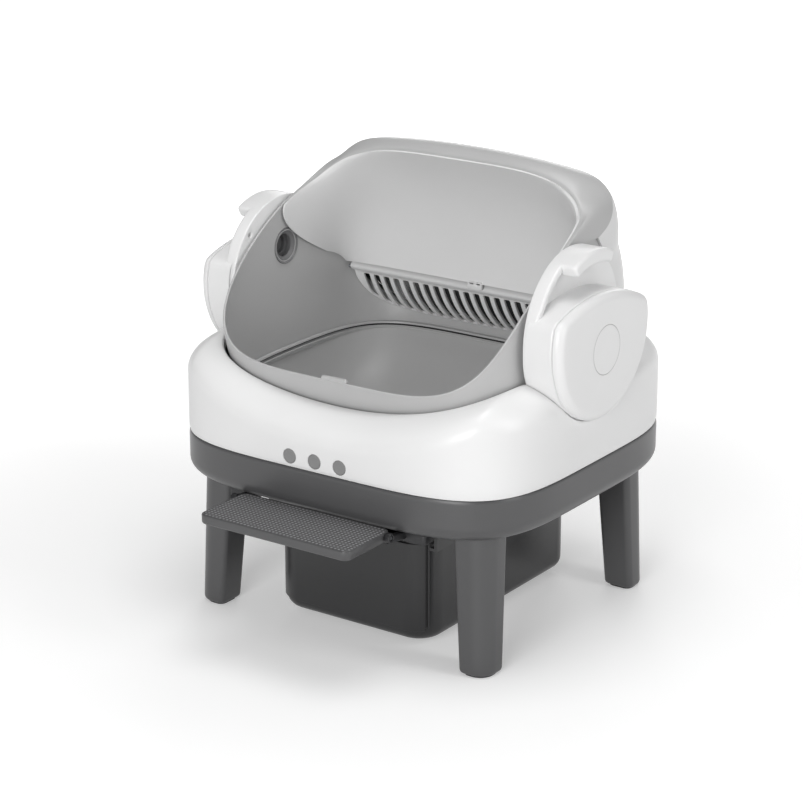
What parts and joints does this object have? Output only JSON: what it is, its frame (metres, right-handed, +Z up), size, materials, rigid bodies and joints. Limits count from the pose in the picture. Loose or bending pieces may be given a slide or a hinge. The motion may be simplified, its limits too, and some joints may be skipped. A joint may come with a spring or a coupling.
{
  "type": "self-cleaning litter box",
  "caption": "Open-top litter drum with a rear hood and sifting grille, turning between two lift-out side pods in a legged housing with a waste drawer, step and push buttons.",
  "frame": {"origin": "on the floor under the middle of the body's seam outline, midway between the four feet", "axes": "+Z up, +X to the right of someone facing the front with the step, +Y from the front towards the back; the drum's axis runs along X"},
  "size_m": [0.545, 0.559, 0.5799],
  "materials": {
    "white_abs": "satin white moulded ABS",
    "charcoal_abs": "fine-textured dark grey ABS",
    "drum_grey": "satin mid grey moulded plastic",
    "hood_grey": "satin light grey moulded plastic",
    "liner_grey": "smooth grey liner plastic",
    "drawer_plastic": "dark grey polypropylene",
    "ring_plastic": "grey polypropylene",
    "button_plastic": "satin grey plastic",
    "port_plastic": "dark grey plastic",
    "black_plastic": "black plastic",
    "gear_plastic": "natural acetal",
    "foot_rubber": "soft rubber",
    "tread_rubber": "dimpled rubber",
    "zinc_steel": "zinc-plated steel",
    "sensor_steel": "machined steel load cell",
    "trunnion_steel": "turned steel",
    "switch_metal": "tinned steel switch bodies",
    "motor_can": "zinc-plated motor can",
    "gearbox_alloy": "die-cast alloy",
    "circuit_board": "glass-fibre board with solder mask",
    "contact_brass": "gold-plated contacts",
    "bush_brass": "sintered bronze"
  },
  "bodies": {
    "root": {"chassis_tray": "charcoal_abs", "upper_housing": "white_abs", "leg_front_left": "charcoal_abs", "leg_front_right": "charcoal_abs", "leg_rear_left": "charcoal_abs", "leg_rear_right": "charcoal_abs", "foot_pads": "foot_rubber", "leg_bolts": "zinc_steel", "weight_sensors": "sensor_steel", "control_board": "circuit_board", "button_switches": "switch_metal", "power_inlet": "black_plastic", "waste_chute": "drawer_plastic", "drawer_rail_left": "drawer_plastic", "drawer_rail_right": "drawer_plastic", "step_brackets": "drawer_plastic", "base_contacts": "contact_brass", "housing_screws": "zinc_steel"},
    "step": {"step_plate": "charcoal_abs", "step_tread": "tread_rubber", "step_pins": "zinc_steel"},
    "left_button": {"button_left": "button_plastic"},
    "centre_button": {"button_centre": "button_plastic"},
    "right_button": {"button_right": "button_plastic"},
    "waste_drawer": {"drawer_bin": "drawer_plastic", "drawer_front": "drawer_plastic", "bag_ring": "ring_plastic"},
    "drum_carrier": {"pod_case_left": "white_abs", "pod_case_right": "white_abs", "pod_cover_left": "white_abs", "pod_cover_right": "white_abs", "bush_left": "bush_brass", "bush_right": "bush_brass", "drive_motor": "motor_can", "drive_gearbox": "gearbox_alloy", "deodoriser_cup": "port_plastic", "presence_sensor": "black_plastic", "pod_contacts": "contact_brass"},
    "drum": {"drum_bowl": "drum_grey", "hood_shell": "hood_grey", "hood_band": "drum_grey", "hood_panel": "hood_grey", "litter_liner": "liner_grey", "rim_tab": "hood_grey", "trunnion_left": "trunnion_steel", "trunnion_right": "trunnion_steel", "drum_gear": "gear_plastic", "port_ring": "port_plastic", "sifter_catch": "hood_grey"},
    "pinion": {"drive_pinion": "trunnion_steel"},
    "sifter": {"sifter_grille": "hood_grey", "sifter_pins": "trunnion_steel"}
  },
  "joints": [
    {"name": "step_fold", "type": "hinge", "parent": "root", "child": "step", "pos_m": [0, -0.24405, 0.1805], "axis": [-1, 0, 0], "range_deg": [0, 90]},
    {"name": "left_button_press", "type": "slide", "parent": "root", "child": "left_button", "axis": [0, 1, 0], "range_m": [0, 0.001], "stiffness_N_per_m": 300, "springref_m": -0.002},
    {"name": "centre_button_press", "type": "slide", "parent": "root", "child": "centre_button", "axis": [0, 1, 0], "range_m": [0, 0.001], "stiffness_N_per_m": 300, "springref_m": -0.002},
    {"name": "right_button_press", "type": "slide", "parent": "root", "child": "right_button", "axis": [0, 1, 0], "range_m": [0, 0.001], "stiffness_N_per_m": 300, "springref_m": -0.002},
    {"name": "drawer_slide", "type": "slide", "parent": "root", "child": "waste_drawer", "axis": [0, -1, 0], "range_m": [0, 0.3]},
    {"name": "carrier_lift", "type": "slide", "parent": "root", "child": "drum_carrier", "axis": [0, 0, 1], "range_m": [0, 0.22]},
    {"name": "drum_turn", "type": "hinge", "parent": "drum_carrier", "child": "drum", "pos_m": [0, 0, 0.395], "axis": [1, 0, 0], "range_deg": [-180, 0]},
    {"name": "pinion_spin", "type": "hinge", "parent": "drum_carrier", "child": "pinion", "pos_m": [0.2335, 0.05683, 0.3685], "axis": [1, 0, 0], "range_deg": [0, 810]},
    {"name": "sifter_swing", "type": "hinge", "parent": "drum", "child": "sifter", "pos_m": [0, 0.125, 0.381], "axis": [-1, 0, 0], "range_deg": [0, 80]}
  ],
  "couplings": [
    {"joint": "pinion_spin", "follows": "drum_turn", "ratio": -4.5}
  ]
}
